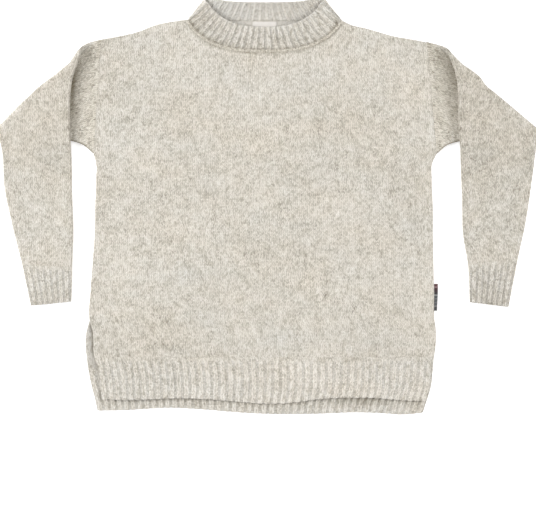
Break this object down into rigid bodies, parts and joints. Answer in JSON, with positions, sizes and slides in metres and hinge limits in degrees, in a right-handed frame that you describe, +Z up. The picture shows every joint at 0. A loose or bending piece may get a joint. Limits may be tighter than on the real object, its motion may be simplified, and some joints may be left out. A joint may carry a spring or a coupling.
{
  "type": "sweater, laid flat",
  "caption": "Plain knitted wool sweater with drop shoulders and a ribbed mock neck, laid flat on its back with each sleeve folded slantwise over its own upper end and hanging beside the body.",
  "frame": {"origin": "middle of the whole outline, on the flat underside of the back", "axes": "+X towards the sweater's own left sleeve, +Y towards the neck, +Z up out of the front"},
  "size_m": [0.9441, 0.7296, 0.0189],
  "materials": {
    "wool_knit": "matt oatmeal melange wool",
    "label_tape": "smooth woven tape",
    "tag_tape": "satin woven tape"
  },
  "bodies": {
    "root": {"front": "wool_knit", "back": "wool_knit", "hem_rib_front": "wool_knit", "hem_rib_back": "wool_knit", "sleeve_right": "wool_knit", "cuff_right": "wool_knit", "sleeve_left": "wool_knit", "cuff_left": "wool_knit", "collar": "wool_knit", "neck_label": "label_tape", "side_tag": "tag_tape"}
  },
  "joints": []
}
